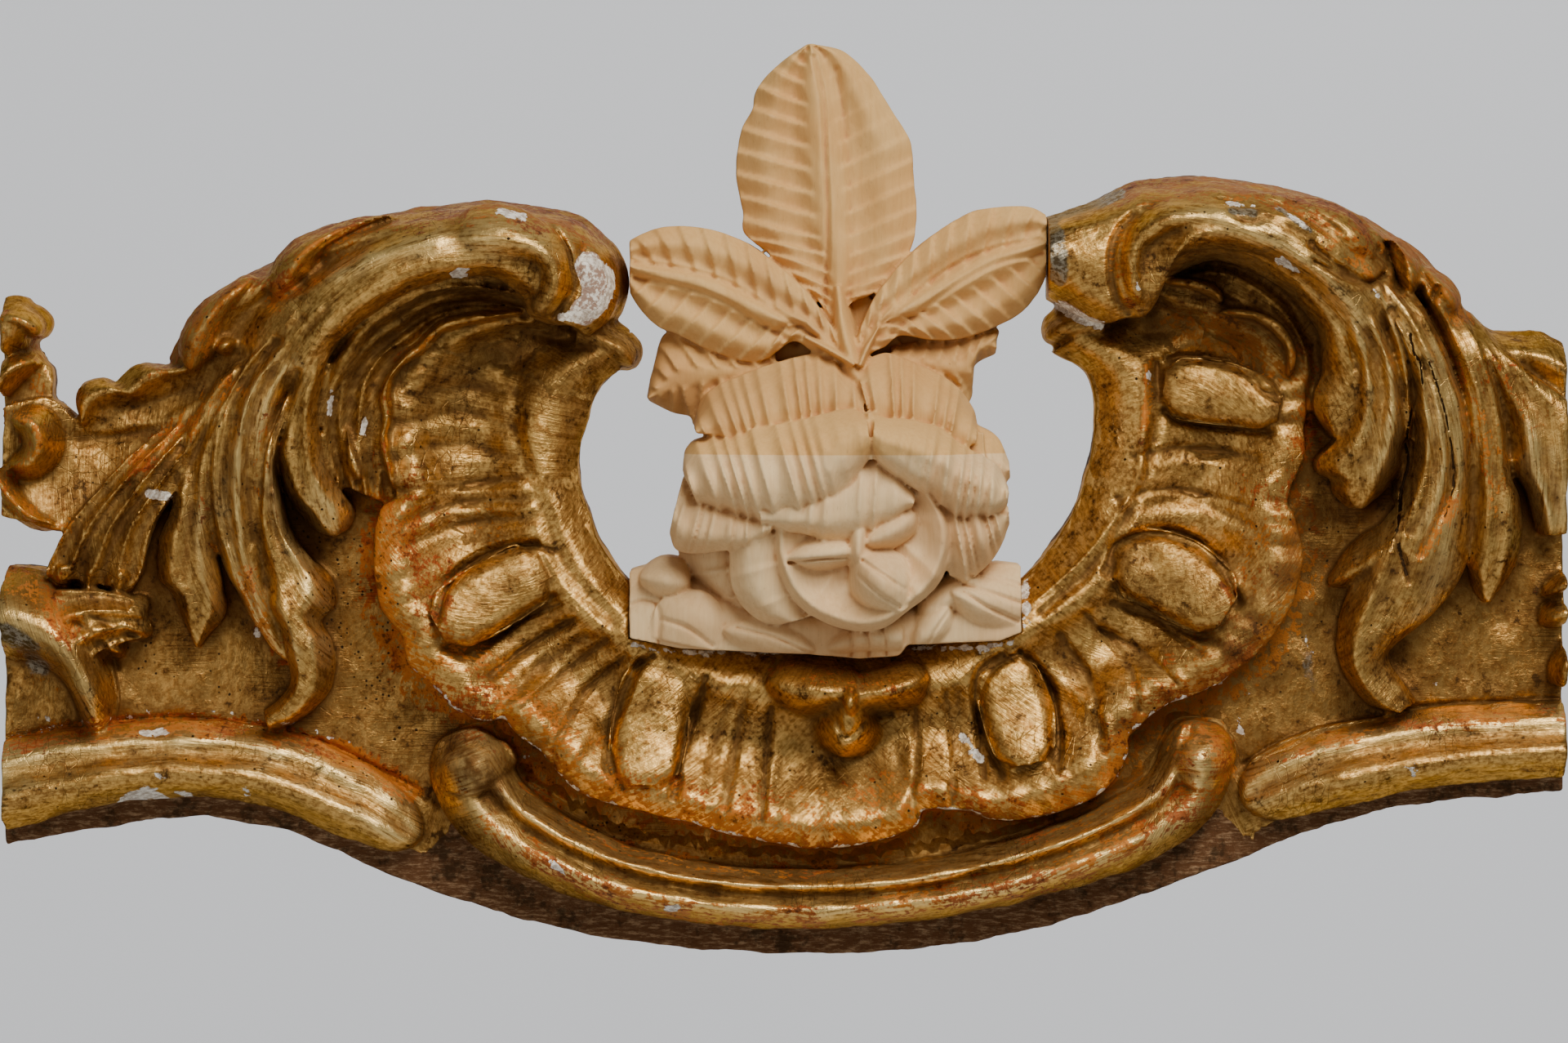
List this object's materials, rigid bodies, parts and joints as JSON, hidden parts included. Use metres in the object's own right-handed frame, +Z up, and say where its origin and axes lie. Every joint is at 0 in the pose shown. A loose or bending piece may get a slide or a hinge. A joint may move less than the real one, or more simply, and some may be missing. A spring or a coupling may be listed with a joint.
{
  "type": "carved giltwood headpiece",
  "caption": "Rococo carved giltwood headpiece from the top rail of a seat back, with a pierced shell, curled arms and a newly carved raw limewood flower let into a sawn notch.",
  "frame": {"origin": "on the flat back of the crest, at the middle of the shell under the flower", "axes": "+Z up, +X to the viewer's right along the crest, -Y out of the carved front, so +Y points into what the crest is fixed to"},
  "size_m": [0.3936, 0.058, 0.23],
  "materials": {
    "gilt_wood": "aged water gilding over red bole, worn and dirty",
    "raw_limewood": "bare, tool marks left"
  },
  "bodies": {
    "root": {"gilt_crest": "gilt_wood", "limewood_flower": "raw_limewood"}
  },
  "joints": []
}
